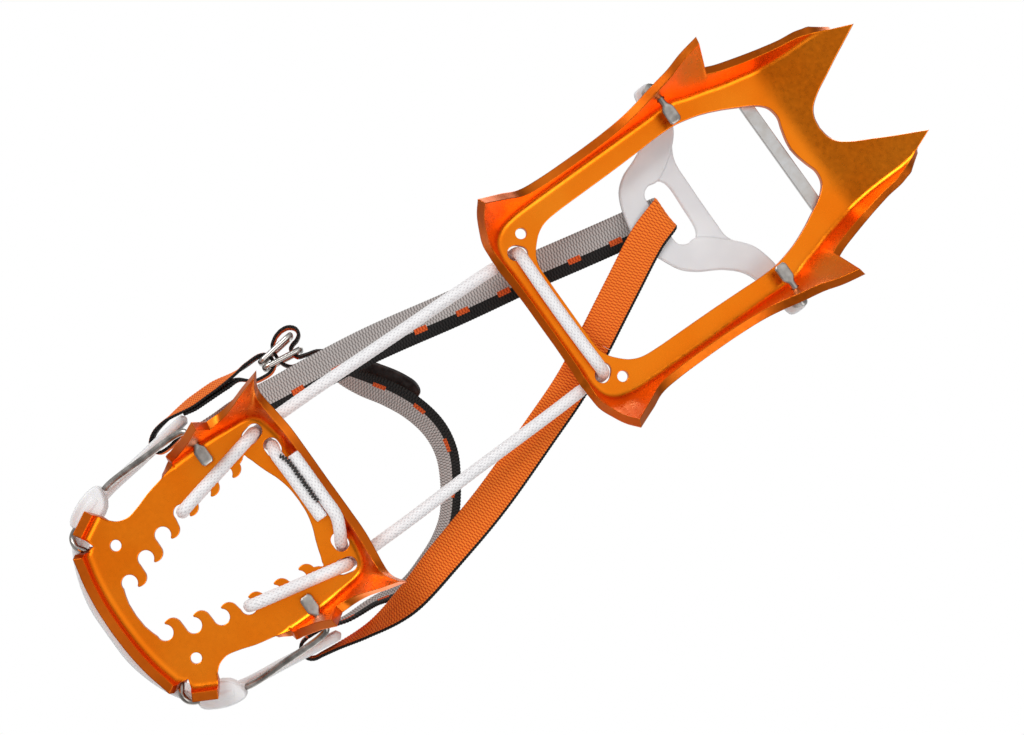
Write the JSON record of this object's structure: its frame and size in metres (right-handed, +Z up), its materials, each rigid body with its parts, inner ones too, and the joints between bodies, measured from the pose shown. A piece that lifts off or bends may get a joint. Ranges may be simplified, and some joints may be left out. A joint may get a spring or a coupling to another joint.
{
  "type": "strap-on crampon",
  "caption": "Strap-on crampon of formed orange sheet, its front and heel parts tied by a cord, with a plastic toe ring and heel cup and one ankle strap.",
  "frame": {"origin": "middle of the whole outline as seen from above, at the height of the downward points' tips", "axes": "+Z up, away from the snow; -Y towards the toes, +Y towards the heel; +X across, to the side without the buckle"},
  "size_m": [0.1057, 0.3202, 0.0621],
  "materials": {
    "orange_metal": "orange anodised, fine satin",
    "steel": "bright drawn wire and strip",
    "white_plastic": "moulded, soft satin",
    "white_cord": "close braid",
    "strap_web": "ribbed webbing, grey and black on one face and orange on the other",
    "strap_web_orange": "ribbed webbing, its orange face out",
    "black_thread": "waxed thread"
  },
  "bodies": {
    "front": {"front_frame": "orange_metal", "toe_bar": "steel", "front_cord": "white_cord"},
    "toe_ring": {"toe_ring": "white_plastic", "toe_wire_right": "steel", "toe_wire_left": "steel", "strap_toe_fold": "strap_web_orange"},
    "heel": {"heel_frame": "orange_metal", "heel_cup": "white_plastic", "heel_side_wire_right": "steel", "heel_side_wire_left": "steel", "heel_rear_wire": "steel", "cord_splice_stitching": "black_thread", "strap_left_run": "strap_web", "strap_right_run": "strap_web_orange", "strap_ankle_run": "strap_web", "strap_tail": "strap_web", "strap_buckle_end": "strap_web_orange", "link_cord_right": "white_cord", "link_cord_left": "white_cord"},
    "inner_ring": {"buckle_ring_inner": "steel"},
    "outer_ring": {"buckle_ring_outer": "steel"}
  },
  "joints": [
    {"name": "toe_ring_tilt", "type": "hinge", "parent": "front", "child": "toe_ring", "pos_m": [0, -0.0924, 0.0176], "axis": [1, 0, 0], "range_deg": [0, 40], "deforming": ["strap_toe_fold"]},
    {"name": "fold", "type": "hinge", "parent": "front", "child": "heel", "pos_m": [0, 0.0091, 0.02945], "axis": [1, 0, 0], "range_deg": [-90, 45], "deforming": ["link_cord_right", "link_cord_left", "strap_left_run", "strap_right_run"]},
    {"name": "inner_ring_swing", "type": "hinge", "parent": "heel", "child": "inner_ring", "pos_m": [-0.0433, 0.0671, 0.049], "axis": [0, 0, 1], "range_deg": [-3, 1.5]},
    {"name": "outer_ring_swing", "type": "hinge", "parent": "heel", "child": "outer_ring", "pos_m": [-0.0457, 0.0671, 0.049], "axis": [0, 0, 1], "range_deg": [-3, 3]}
  ]
}
